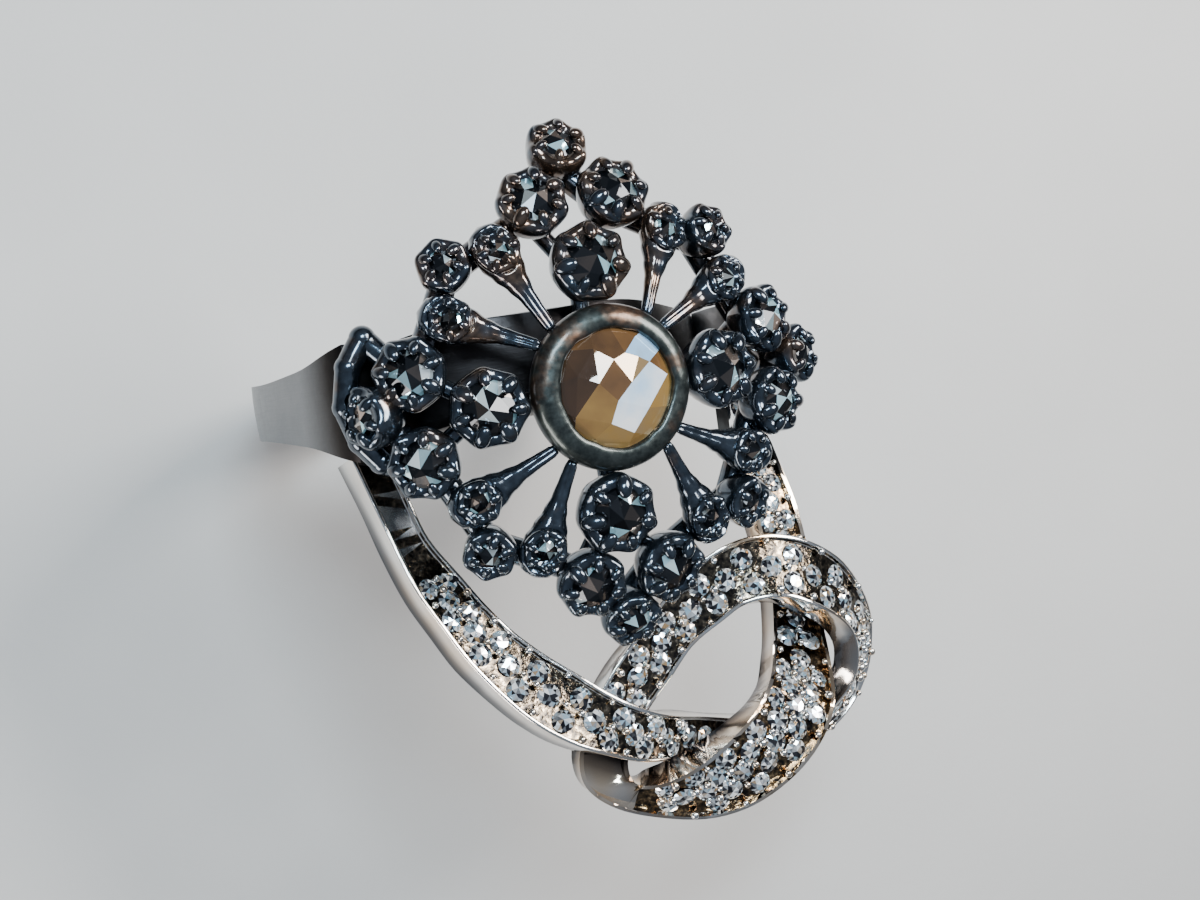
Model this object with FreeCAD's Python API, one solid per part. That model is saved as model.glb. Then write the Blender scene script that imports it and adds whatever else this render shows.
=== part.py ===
import FreeCAD, Part
import math
import os

# Engagement ring: a domed openwork cluster of rose-cut diamonds in blackened silver, on a plain band,
# with a pave-set white gold ribbon tied in a knot beside it. Millimetres.
# Origin: centre of the finger hole. +Y runs along the finger, +Z goes up through the head.

V = FreeCAD.Vector
UP = V(0, 0, 1)

# Plain band
BORE_R = 9.1          # finger hole
BAND_R = 10.9         # outside of the band
# half width of the band and shoulders at each height: slim at the back, wide under the head's rim
FLARE = [(-1.0, 1.3), (0.0, 1.3), (3.0, 1.38), (5.0, 1.55), (7.5, 1.9), (8.8, 2.3), (9.6, 2.6)]
FLARE_RIGHT = [(-1.0, 1.3), (0.0, 1.3), (3.0, 1.38), (5.0, 1.5), (7.5, 1.7), (9.0, 1.85)]
STRIP = (-0.5, 2.2)   # the hoop's edges under the head

# Head: its own centre, and the dome that its settings follow
HEAD = V(1.8, -1.0, 13.8)
DOME_X = 0.0139
DOME_Y = 0.0087
DOME_R4 = 0.000093
COMPASS = {"east": 0, "north": 90, "west": 180, "south": 270}

# Settings: distance from the head's centre, top radius and height of each kind of cup
CENTRE_R = 3.55
CENTRE_H = 3.1
INNER_AT, INNER_R, INNER_H = 5.39, 1.78, 2.0
APEX_AT, APEX_R, APEX_H = 10.35, 1.38, 1.8
FLANK_AT, FLANK_R, FLANK_H = 8.52, 1.6, 1.8
BALL_AT, BALL_R, BALL_H = 8.7, 1.2, 1.8
FLANK_TURN = 12.8     # degrees either side of the compass direction
LEAF_START = (3.75, 0.5)   # along the diagonal, and away from it
LEAF_END = (8.25, 2.15)
LEAF_R = 1.05
SEAT_WALL = 0.42      # wall round a cup's stone, and the depth of the stone's seat
SEAT_DEPTH = 0.35
RAIL_R = 0.6
RIM_LIFT = 0.16       # the rim runs this much above the bottoms of the outer cups
JOINT_GROWTH = 1.06   # solder at the joints is this much fuller than the rods
SPOKE_R = 0.4
COLLAR_R = 0.55       # the head's rim thickens into a collar on the left shoulder
COLLAR = [(-7.6, -2.6, 9.95), (-8.35, -1.6, 9.95), (-8.75, -0.1, 9.9), (-8.4, 1.5, 9.95), (-7.6, 2.6, 9.95)]
# hand-made irregularity: these settings sit a little off the even layout (x, y)
NUDGE = {"inner_south": (-0.5, 0.0), "apex_north": (0.0, 0.3), "apex_west": (0.0, 0.35)}
# this one is bent down over the shoulder, in degrees beyond the dome's own slope
BENT = {"apex_west": 32}

# Ribbon
RIM = 0.2             # width of the polished rim on each side of the stones
RECESS = 0.25         # depth of the stone bed below the rims
STONE_PITCH = 0.95   # least width that a row of stones needs
STONE_R = 0.5         # largest stone in the ribbon
BEAD_R = 0.16
SECTION_STEP = 0.2    # stations of the ribbon skin per hand-placed station

# The ribbon's top edges and thickness, station by station: outer edge, inner edge, thickness.
# It leaves the left shoulder, passes over its own leg and under the loop, rises over the loop's end,
# comes back down as the leg, folds round under the sweep and ends at the right shoulder.
SWEEP = [
    [(-8.6, -2.3, 8.6), (-6.9, -2.3, 8.1), 1.5],
    [(-8.1, -4.4, 9.0), (-6.4, -4.4, 8.6), 1.5],
    [(-7.6, -6.4, 9.5), (-5.9, -6.3, 9.0), 1.5],
    [(-7.1, -8.3, 10.1), (-4.9, -8.1, 9.5), 1.5],
    [(-6.4, -9.9, 10.6), (-4.1, -9.5, 9.9), 1.5],
    [(-5.7, -11.4, 11.1), (-3.2, -10.8, 10.3), 1.5],
    [(-4.7, -13.0, 11.6), (-2.1, -12.0, 10.8), 1.4],
    [(-3.6, -14.4, 12.1), (-1.0, -13.0, 11.3), 1.3],
    [(-2.2, -15.6, 12.4), (0.2, -14.1, 11.7), 1.3],
    [(-0.5, -16.6, 12.3), (1.6, -15.1, 11.7), 1.3],
    [(1.4, -17.5, 11.6), (3.2, -15.9, 11.1), 1.3],
    [(3.9, -18.2, 10.3), (5.2, -16.6, 10.0), 1.3],
    [(6.4, -18.9, 9.4), (7.2, -17.3, 9.4), 1.2],
    [(8.9, -19.4, 8.7), (9.0, -17.9, 9.2), 1.2],
    [(10.8, -19.5, 8.0), (10.3, -18.1, 9.0), 1.2],
]
CURVE = [
    [(10.8, -19.5, 8.0), (10.3, -18.1, 9.0), 1.2],
    [(12.6, -19.4, 7.6), (11.5, -18.1, 9.2), 1.2],
    [(14.1, -18.4, 7.5), (12.4, -17.4, 9.6), 1.2],
    [(15.0, -16.9, 7.7), (12.9, -16.4, 10.2), 1.2],
    [(15.1, -15.4, 8.3), (12.9, -15.2, 10.8), 1.2],
    [(14.8, -13.9, 9.1), (12.5, -14.1, 11.3), 1.3],
    [(14.0, -12.3, 9.9), (11.7, -13.2, 11.7), 1.3],
    [(12.7, -10.6, 10.5), (10.7, -12.5, 12.0), 1.3],
    [(10.7, -9.3, 10.8), (9.7, -11.9, 12.0), 1.3],
    [(8.5, -8.8, 10.8), (8.7, -11.6, 11.8), 1.3],
    [(6.4, -9.2, 10.6), (7.3, -11.7, 11.4), 1.3],
    [(4.4, -10.4, 10.3), (6.3, -12.3, 10.9), 1.3],
    [(2.8, -11.9, 10.1), (4.9, -13.2, 10.4), 1.2],
    [(1.3, -13.2, 10.2), (3.7, -14.5, 10.1), 1.1],
    [(0.2, -14.4, 10.25), (2.6, -15.6, 9.9), 1.0],
    [(-0.6, -15.5, 10.25), (1.7, -16.6, 10.0), 1.0],
]
LOOP = [
    [(-0.6, -15.5, 10.25), (1.7, -16.6, 10.0), 1.0],
    [(-1.2, -17.0, 10.2), (1.1, -17.4, 10.2), 1.05],
    [(-1.1, -18.3, 10.2), (0.9, -18.1, 10.5), 1.1],
    [(-0.1, -19.4, 10.3), (1.0, -18.5, 11.0), 1.2],
    [(1.5, -20.2, 10.6), (1.6, -18.6, 11.5), 1.3],
    [(3.9, -20.8, 11.2), (2.4, -18.4, 12.1), 1.4],
    [(6.1, -20.6, 11.7), (3.7, -17.9, 12.5), 1.4],
    [(8.2, -19.6, 12.1), (5.1, -17.1, 12.7), 1.4],
    [(9.8, -18.3, 12.1), (6.6, -16.2, 12.4), 1.4],
    [(10.9, -16.9, 11.6), (7.9, -15.2, 11.5), 1.4],
    [(11.6, -15.4, 10.4), (8.9, -14.1, 10.2), 1.3],
    [(12.1, -13.8, 9.2), (9.6, -13.0, 9.2), 1.2],
    [(12.4, -12.1, 8.5), (10.0, -11.6, 8.6), 1.2],
    [(12.4, -10.2, 8.2), (10.0, -9.9, 8.4), 1.2],
    [(12.3, -8.0, 7.8), (9.9, -8.0, 8.1), 1.2],
    [(12.1, -5.2, 6.7), (9.9, -5.2, 7.0), 1.1],
    [(11.8, -1.75, 5.9), (10.3, -1.75, 6.2), 1.0],
]


def save(shape, node):
    shape.exportStep(os.path.join("parts", node + ".step"))


# ---- helpers for points and simple solids ----

def dome_drop(x, y):
    r2 = x * x + y * y
    return DOME_X * x * x + DOME_Y * y * y + DOME_R4 * r2 * r2


def on_dome(x, y, below=0.0):
    """Point of the dome above (x, y) of the head, moved inwards by `below`, and the dome's normal there."""
    r2 = x * x + y * y
    normal = V(2 * x * (DOME_X + 2 * DOME_R4 * r2), 2 * y * (DOME_Y + 2 * DOME_R4 * r2), 1.0)
    normal.normalize()
    top = HEAD + V(x, y, -dome_drop(x, y))
    return top - normal * below, normal


def polar(distance, degrees):
    a = math.radians(degrees)
    return distance * math.cos(a), distance * math.sin(a)


def place(shape, point, normal):
    out = shape.copy()
    out.Placement = FreeCAD.Placement(point, FreeCAD.Rotation(UP, normal))
    return out


def turned(profile):
    """Solid of revolution about Z of a closed (radius, height) outline."""
    wire = Part.makePolygon([V(r, 0, z) for r, z in profile + profile[:1]])
    return Part.Face(wire).revolve(V(0, 0, 0), UP, 360)


def faceted(faces):
    """Closed solid from flat faces, each a list of corner points."""
    shell = Part.Shell([Part.Face(Part.makePolygon(list(f) + [f[0]])) for f in faces])
    solid = Part.Solid(shell)
    if solid.Volume < 0:
        solid.reverse()
    return solid


def ring_points(radius, height, count, turn=0.0):
    out = []
    for i in range(count):
        x, y = polar(radius, 360.0 * (i + turn) / count)
        out.append(V(x, y, height))
    return out


def outline(runs):
    """Flat face from runs of points: a run of three or more is a smooth curve, and runs join by lines."""
    edges = []
    for k, run in enumerate(runs):
        if len(run) > 2:
            curve = Part.BSplineCurve()
            curve.interpolate(run)
            edges.append(curve.toShape())
        else:
            edges.append(Part.makeLine(run[0], run[1]))
        after = runs[(k + 1) % len(runs)][0]
        if (after - run[-1]).Length > 1e-6:
            edges.append(Part.makeLine(run[-1], after))
    return Part.Face(Part.Wire(edges))


def rod(start, end, radius):
    return Part.makeCylinder(radius, (end - start).Length, start, end - start)


def joint(point, radius):
    """Ball of solder where rods meet, a little fuller than the rods."""
    return Part.makeSphere(JOINT_GROWTH * radius, point)


# ---- stones ----

def rose_cut(radius, height):
    """Flat-backed rose: girdle of twelve corners, a ring of six above it, and a point."""
    girdle = ring_points(radius, 0, 12)
    waist = ring_points(0.58 * radius, 0.72 * height, 6)
    point = V(0, 0, height)
    faces = [girdle]
    for i in range(6):
        here, after = waist[i], waist[(i + 1) % 6]
        faces.append([here, after, point])
        faces.append([here, girdle[2 * i + 1], after])
        faces.append([girdle[2 * i - 1], girdle[2 * i], here])
        faces.append([girdle[2 * i], girdle[2 * i + 1], here])
    return faceted(faces)


def brilliant(radius, height):
    """Small full-cut stone as it shows in pave: a girdle band, eight crown facets and a table."""
    base = ring_points(radius, 0, 8)
    girdle = ring_points(radius, 0.3 * height, 8)
    table = ring_points(0.55 * radius, height, 8)
    faces = [base, table]
    for i in range(8):
        j = (i + 1) % 8
        faces.append([base[i], base[j], girdle[j], girdle[i]])
        faces.append([girdle[i], girdle[j], table[j], table[i]])
    return faceted(faces)


# ---- band ----

def finger_band():
    bulge = 0.35
    side = BAND_R - bulge
    reach = 3.2
    lines = [
        Part.makeLine(V(BORE_R, -reach, 0), V(side, -reach, 0)),
        Part.Arc(V(side, -reach, 0), V(BAND_R, 0, 0), V(side, reach, 0)).toShape(),
        Part.makeLine(V(side, reach, 0), V(BORE_R, reach, 0)),
        Part.makeLine(V(BORE_R, reach, 0), V(BORE_R, -reach, 0)),
    ]
    hoop = Part.Face(Part.Wire(lines)).revolve(V(0, 0, 0), V(0, 1, 0), 360)
    # under the head only a narrow strip of the hoop goes on
    north = [V(-12, half, z) for z, half in FLARE[1:]] + [V(-12, STRIP[1], 11.5)]
    south = [V(-12, STRIP[0], 11.5)] + [V(-12, -half, z) for z, half in reversed(FLARE[1:-2])]
    low = FLARE[0][1]
    back = [V(-12, -low, 0), V(-12, -low, -11.5)]
    side_view = outline([[V(-12, low, -11.5), V(-12, low, 0)], north, south, back])
    return hoop.common(side_view.extrude(V(24, 0, 0)))


def shoulder(outer, inner, flare):
    """Flared cheek between the band and the head's rim; outer and inner are its edges as (x, z)."""
    edges = [[V(x, -4, z) for x, z in outer], [V(x, -4, z) for x, z in inner]]
    wedge = outline(edges).extrude(V(0, 8, 0))
    north = [V(-14, half, z) for z, half in flare]
    south = [V(-14, -half, z) for z, half in reversed(flare)]
    hoop = Part.makeCylinder(BAND_R, 10, V(0, -5, 0), V(0, 1, 0))
    return wedge.common(outline([north, south]).extrude(V(28, 0, 0))).cut(hoop)


# ---- ribbon ----

def spline(points, t):
    """Smooth curve through the points (Catmull-Rom); t counts stations from 0."""
    last = len(points) - 1
    i = min(int(t), last - 1)
    f = t - i
    a, b, c, d = (V(*points[min(max(k, 0), last)]) for k in (i - 1, i, i + 1, i + 2))
    return (b * 2 + (c - a) * f + (a * 2 - b * 5 + c * 4 - d) * (f * f)
            + (b * 3 - a - c * 3 + d) * (f * f * f)) * 0.5


def station(stations, t):
    """Middle, width direction, surface normal, width and thickness of the ribbon at t."""
    outer = spline([s[0] for s in stations], t)
    inner = spline([s[1] for s in stations], t)
    back, ahead = max(t - 0.05, 0), min(t + 0.05, len(stations) - 1)
    along = V(0, 0, 0)
    for k in (0, 1):
        edge = [s[k] for s in stations]
        along = along + spline(edge, ahead) - spline(edge, back)
    across = inner - outer
    width = across.Length
    across.normalize()
    normal = across.cross(along)
    normal.normalize()
    if normal.z < 0:
        normal = normal * -1
    i = min(int(t), len(stations) - 2)
    thick = stations[i][2] + (stations[i + 1][2] - stations[i][2]) * (t - i)
    return (outer + inner) * 0.5, across, normal, width, thick


def ribbon(stations):
    """Channel-shaped strip: a bed for the stones between two rims."""
    count = int((len(stations) - 1) / SECTION_STEP)
    wires = []
    for k in range(count + 1):
        mid, across, normal, width, thick = station(stations, (len(stations) - 1) * k / count)
        half = width / 2
        outline = [(-half, 0), (-half + RIM, 0), (-half + RIM, -RECESS), (half - RIM, -RECESS),
                   (half - RIM, 0), (half, 0), (half, -thick), (-half, -thick)]
        points = [mid + across * a + normal * n for a, n in outline]
        wires.append(Part.makePolygon(points + points[:1]))
    return Part.makeLoft(wires, True, True)


def pave(stations, start, end):
    """Stones in staggered rows over the bed, with the metal beads that hold them."""
    stones, beads = [], []
    t, row = start, 0
    while t < end:
        mid, across, normal, width, thick = station(stations, t)
        bed = width - 2 * RIM
        full = max(1, int((bed + 0.1) / STONE_PITCH))
        pitch = bed / full
        radius = min(0.46 * pitch, STONE_R)
        count = full - row % 2 if full > 1 else 1
        nearby = station(stations, min(t + 0.05, len(stations) - 1))[0]
        speed = max((nearby - mid).Length / 0.05, 0.5)
        along = nearby - mid
        along.normalize()
        floor = mid - normal * RECESS
        for i in range(count):
            spot = floor + across * ((i - (count - 1) / 2) * pitch)
            stones.append(place(brilliant(radius, 0.36), spot, normal))
        for i in range(count - 1):
            gap = floor + across * ((i - (count - 2) / 2) * pitch)
            beads.append(Part.makeSphere(BEAD_R, gap + normal * 0.27 + along * (0.3 * pitch)))
            beads.append(Part.makeSphere(BEAD_R, gap + normal * 0.27 - along * (0.3 * pitch)))
        if count < full:
            for side in (-1, 1):
                edge = floor + across * (side * (bed / 2 - 0.16))
                beads.append(Part.makeSphere(BEAD_R, edge + normal * 0.27))
        t += (0.88 * pitch if full > 1 else 2.2 * radius) / speed
        row += 1
    return Part.makeCompound(stones), Part.makeCompound(beads)


# ---- head ----

def cup_outside(radius, height):
    """A cup before its seat and flutes are cut."""
    return turned([(0, -height), (0.6 * radius, -height), (0.88 * radius, -0.68 * height),
                   (radius, -0.3 * height), (0.96 * radius, -0.1), (0.88 * radius, 0), (0, 0)])


def cup(radius, height, claws):
    """Cut-down setting: a tapered cup, its wall cut into upright flutes, with a seat for the stone."""
    seat = Part.makeCylinder(radius - SEAT_WALL, 2 * SEAT_DEPTH, V(0, 0, -SEAT_DEPTH))
    body = cup_outside(radius, height).cut(seat)
    flutes = []
    for i in range(claws):
        x, y = polar(radius * 1.12, 360.0 * i / claws)
        flutes.append(Part.makeCylinder(0.2 * radius, height + 1, V(x, y, -height)))
    return body.cut(Part.makeCompound(flutes))


def apart(solid, others):
    """The solid with its neighbours cut out of it, where soldered settings would run into each other."""
    near = [other for other in others if solid.BoundBox.intersect(other.BoundBox)]
    if not near:
        return solid
    return max(solid.cut(Part.makeCompound(near)).Solids, key=lambda piece: piece.Volume)


def centre_cup():
    seat = CENTRE_R - 0.75
    body = turned([(0, -CENTRE_H), (2.3, -CENTRE_H), (3.1, -2.0), (CENTRE_R, -0.7), (3.4, -0.1),
                   (seat + 0.1, 0.25), (seat, 0.0), (seat, -0.6), (0, -0.6)])
    hoop = Part.makeCylinder(BAND_R, 10, V(0, -5, 0), V(0, 1, 0))
    return place(body, HEAD, UP).cut(hoop)


def leaf(side, turn):
    """Drop-shaped arm from the centre cup to the rim, with a round seat near its wide end."""
    points, normals = [], []
    for along, away in (LEAF_START, LEAF_END):
        a = math.radians(turn)
        x = along * math.cos(a) - side * away * math.sin(a)
        y = along * math.sin(a) + side * away * math.cos(a)
        point, normal = on_dome(x, y)
        points.append(point)
        normals.append(normal)
    length = (points[1] - points[0]).Length
    body = turned([(0, 0), (0.3, 0.0), (0.34, 0.25 * length), (0.62, 0.45 * length), (LEAF_R, 0.68 * length),
                   (LEAF_R, 0.84 * length), (0.72, 0.97 * length), (0, 1.02 * length)])
    depth = 0.55
    start = points[0] - normals[0] * depth
    end = points[1] - normals[1] * depth
    arm = place(body, start, end - start)
    seat = start + (end - start) * 0.76
    normal = (normals[0] + normals[1] * 3).normalize()
    floor = seat + normal * 0.35
    arm = arm.cut(Part.makeCylinder(LEAF_R - 0.3, 2, floor, normal))
    stone = place(rose_cut(LEAF_R - 0.33, 0.75), floor, normal)
    return arm, stone


def head_frame(seats, hollows):
    """Wire rim under the outer settings and bars out to them from the centre."""
    wires = []
    count = len(seats)
    for i in range(count):
        here, after = seats[i], seats[(i + 1) % count]
        wires.append(rod(here, after, RAIL_R))
        wires.append(joint(here, RAIL_R))
    for turn in COMPASS.values():
        hub = on_dome(*polar(1.6, turn), 2.75)[0]
        knee = on_dome(*polar(INNER_AT, turn), INNER_H + 0.35)[0]
        wires.append(rod(hub, knee, SPOKE_R))
        wires.append(joint(knee, SPOKE_R))
        for side in (-1, 1):
            out = on_dome(*polar(FLANK_AT, turn + side * FLANK_TURN), FLANK_H + 0.35)[0]
            wires.append(rod(knee, out, SPOKE_R))
    collar = [V(*p) for p in COLLAR]
    wires += [rod(here, after, COLLAR_R) for here, after in zip(collar, collar[1:])]
    wires += [joint(point, COLLAR_R) for point in collar]
    frame = wires[0].fuse(wires[1:])
    for hollow in hollows:
        frame = frame.cut(hollow)
    return frame


os.makedirs("parts", exist_ok=True)

band = finger_band()
left = shoulder([(-10.9, 0), (-10.6, 3.0), (-9.9, 6.0), (-8.9, 8.8), (-8.4, 9.4)], [(-7.2, 9.2), (-6.3, 8.7)],
                FLARE)
right = shoulder([(10.9, 0), (11.4, 3.0), (11.9, 6.0), (12.1, 8.0), (12.0, 8.7)],
                 [(10.6, 8.6), (10.1, 7.8), (9.6, 6.4), (9.5, 5.2)], FLARE_RIGHT)
save(band, "finger_band")
save(left, "shoulder_left")
save(right, "shoulder_right")

ribbons = {"sweep": (SWEEP, 3.0, 11.6), "curve": (CURVE, 0.3, 14.9), "loop": (LOOP, 4.4, 15.6)}
for name, (stations, start, end) in ribbons.items():
    save(ribbon(stations), "ribbon_" + name)
    stones, beads = pave(stations, start, end)
    save(stones, "diamonds_" + name)
    save(beads, "beads_" + name)

kinds = {
    "inner": (INNER_AT, INNER_R, INNER_H, 8, [0]),
    "flank": (FLANK_AT, FLANK_R, FLANK_H, 7, [-FLANK_TURN, FLANK_TURN]),
    "apex": (APEX_AT, APEX_R, APEX_H, 7, [0]),
    "ball": (BALL_AT, BALL_R, BALL_H, 7, [45]),
}
rim, cups, hollows = [], [], []
for kind, (distance, radius, height, claws, turns) in kinds.items():
    blank = cup(radius, height, claws)
    outside = cup_outside(radius, height)
    gem = rose_cut(radius - SEAT_WALL - 0.03, 0.85)
    gems = []
    for direction, compass in COMPASS.items():
        for k, turn in enumerate(turns):
            x, y = polar(distance, compass + turn)
            dx, dy = NUDGE.get(kind + "_" + direction, (0, 0))
            x, y = x + dx, y + dy
            point, normal = on_dome(x, y)
            bend = BENT.get(kind + "_" + direction, 0)
            normal = FreeCAD.Rotation(UP.cross(normal), bend).multVec(normal)
            solid = apart(place(blank, point, normal), cups)
            cups.append(solid)
            hollows.append(place(outside, point, normal))
            tag = "" if len(turns) == 1 else "_" + "ab"[k]
            save(solid, "cup_" + kind + "_" + direction + tag)
            gem_at = place(gem, point - normal * SEAT_DEPTH, normal)
            gems.append(gem_at)
            if kind != "inner":
                rim.append((compass + turn, on_dome(x, y, height - RIM_LIFT)[0]))
            else:
                save(gem_at, "diamond_inner_" + direction)
    if kind != "inner":
        save(Part.makeCompound(gems), "diamonds_" + kind)

leaf_gems = []
for direction, compass in COMPASS.items():
    for k, side in enumerate((-1, 1)):
        arm, gem = leaf(side, compass + 45)
        hollows.append(arm)
        arm = apart(arm, cups)
        cups.append(arm)
        save(arm, "leaf_" + direction + "_" + "ab"[k])
        leaf_gems.append(gem)
save(Part.makeCompound(leaf_gems), "diamonds_leaf")

centre = centre_cup()
hollows += [centre, band, left, right]
centre = apart(centre, cups)
save(centre, "cup_centre")
save(place(turned([(0, 0), (2.78, 0), (2.78, 0.12), (0, 0.12)]), HEAD - UP * 0.6, UP), "foil_centre")
save(place(rose_cut(2.76, 1.35), HEAD - UP * 0.48, UP), "diamond_centre")

rim.sort(key=lambda item: item[0])
save(head_frame([point for angle, point in rim], hollows), "head_frame")
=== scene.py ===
import math
import random

import bmesh
import bpy
from mathutils import Matrix, Vector
from mathutils.kdtree import KDTree


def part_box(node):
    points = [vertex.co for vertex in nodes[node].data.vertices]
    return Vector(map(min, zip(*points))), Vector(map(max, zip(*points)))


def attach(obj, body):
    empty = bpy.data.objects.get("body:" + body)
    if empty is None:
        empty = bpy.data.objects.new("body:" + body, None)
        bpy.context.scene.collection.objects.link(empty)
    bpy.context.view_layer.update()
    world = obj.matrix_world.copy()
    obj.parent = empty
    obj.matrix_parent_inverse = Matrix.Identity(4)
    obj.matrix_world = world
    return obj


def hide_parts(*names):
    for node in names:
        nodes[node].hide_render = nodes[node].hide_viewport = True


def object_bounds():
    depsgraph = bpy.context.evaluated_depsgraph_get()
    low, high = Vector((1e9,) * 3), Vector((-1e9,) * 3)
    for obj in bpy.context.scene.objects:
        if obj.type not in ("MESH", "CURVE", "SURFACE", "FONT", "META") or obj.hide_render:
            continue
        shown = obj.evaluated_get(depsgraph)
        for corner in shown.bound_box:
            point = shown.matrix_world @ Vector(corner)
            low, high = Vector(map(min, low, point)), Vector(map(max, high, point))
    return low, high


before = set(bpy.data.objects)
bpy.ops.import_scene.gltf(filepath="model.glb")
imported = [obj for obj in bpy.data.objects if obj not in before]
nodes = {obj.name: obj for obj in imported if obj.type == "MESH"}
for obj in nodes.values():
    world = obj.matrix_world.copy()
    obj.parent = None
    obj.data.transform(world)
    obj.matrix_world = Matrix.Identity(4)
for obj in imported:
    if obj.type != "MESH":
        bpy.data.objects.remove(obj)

MM = 0.001
UP = Vector((0, 0, 1))
cad_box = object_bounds()

# head directions and ribbon lengths, as the frame's nodes are named
COMPASS = ("east", "north", "south", "west")
RIBBON = ("sweep", "curve", "loop")

WELD = 0.0005 * MM           # points nearer than this are one point
LEVEL = 0.002 * MM           # a point nearer than this to a flat side is on it

# ribbon: the loop's end under the head is painted dark as shade from here on, north of the finger's axis
NEVER = 100.0
SHADE_FROM = {"sweep": NEVER, "curve": NEVER, "loop": -7.4}
SHADE_FADE = 1.2              # length in mm over which it comes up
BED_LEVEL = 0.12 * MM        # a face this near to a stone's base, and
BED_REACH = 1.3 * MM         # no farther than this from the stone, is part of its bed;
BED_WIDTH = 0.2 * MM         # so is any upward face that is wider than this

BEAD = 0.17 * MM             # radius of a bead in the pave
BEAD_LIFT = 0.22 * MM        # how far a bead stands above the stones' bases
BEADS_APART = 0.3 * MM

CUP_WALL = 0.42 * MM         # thickness of a cup's wall at its stone
LEAF_CUP = 1.0 * MM          # radius of the cup at a leaf's end
LEAF_CUP_TALL = 0.9 * MM
LEAF_CUP_LIFT = 0.34 * MM    # how far its edge is above the stone's base
LEAF_SEAT = 0.95 * MM        # a leaf is cut flat this far round its stone


# ---------------------------------------------------------------- reading the frame

def welded(name):
    """A CAD node's mesh with its loose triangles joined."""
    bm = bmesh.new()
    bm.from_mesh(nodes[name].data)
    bmesh.ops.remove_doubles(bm, verts=bm.verts, dist=WELD)
    return bm


def islands(bm):
    """Lists of vertices, one for each loose solid, in a steady order."""
    left = set(bm.verts)
    out = []
    for seed in bm.verts:
        if seed not in left:
            continue
        left.discard(seed)
        group, edge = [seed], [seed]
        while edge:
            v = edge.pop()
            for link in v.link_edges:
                other = link.other_vert(v)
                if other in left:
                    left.discard(other)
                    group.append(other)
                    edge.append(other)
        out.append(group)
    return out


def once(things):
    """Each thing once, in a steady order, so that every run adds them up alike."""
    return list(dict.fromkeys(things))


def seat_of(verts):
    """Centre and upward axis of a solid's largest flat side, and the solid's radius and reach."""
    faces = once(f for v in verts for f in v.link_faces)
    areas = {}
    for f in faces:
        key = tuple(round(c, 2) + 0.0 for c in f.normal)
        areas.setdefault(key, []).append(f)
    flat = max(areas.values(), key=lambda group: sum(f.calc_area() for f in group))
    axis = flat[0].normal.copy()
    if axis.z < 0:
        axis.negate()
    level = max(flat, key=lambda f: f.calc_area()).verts[0].co
    rim = once(v for f in flat for v in f.verts if abs((v.co - level).dot(axis)) < LEVEL)
    centre = sum((v.co for v in rim), Vector()) / len(rim)
    radius = max((v.co - centre - axis * (v.co - centre).dot(axis)).length for v in verts)
    heights = [(v.co - centre).dot(axis) for v in verts]
    return {"at": centre, "axis": axis, "radius": radius, "up": max(heights), "down": -min(heights)}


def seats(*names):
    """The seat of every loose solid in these CAD nodes."""
    out = []
    for name in names:
        bm = welded(name)
        bm.normal_update()
        out += [seat_of(group) for group in islands(bm)]
        bm.free()
    return out


# ---------------------------------------------------------------- node helpers

class Value:
    """A socket that can be used in Python expressions; each operator adds a Math node."""

    def __init__(self, tree, socket):
        self.tree, self.socket = tree, socket

    def maths(self, operation, first, second):
        return self.tree.add("ShaderNodeMath", {"operation": operation}, {0: first, 1: second})

    def __add__(self, other):
        return self.maths("ADD", self, other)

    def __mul__(self, other):
        return self.maths("MULTIPLY", self, other)

    __radd__, __rmul__ = __add__, __mul__


class Nodes:
    """A node tree; every node comes from add()."""

    def __init__(self, tree):
        self.tree = tree

    def add(self, kind, settings=None, inputs=None, output=0):
        """Makes a node: settings first, then a value, a link or a list of links for each input."""
        node = self.tree.nodes.new(kind)
        for key, setting in (settings or {}).items():
            if key == "stops":
                while len(node.color_ramp.elements) < len(setting):
                    node.color_ramp.elements.new(1.0)
                for element, (position, colour) in zip(node.color_ramp.elements, setting):
                    element.position = position
                    element.color = (*colour, 1.0)
            else:
                setattr(node, key, setting)
        for key, value in (inputs or {}).items():
            if isinstance(value, list):
                for each in value:
                    self.tree.links.new(each.socket, node.inputs[key])
            elif isinstance(value, Value):
                self.tree.links.new(value.socket, node.inputs[key])
            else:
                node.inputs[key].default_value = value
        return Value(self, node.outputs[output]) if len(node.outputs) else None


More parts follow.
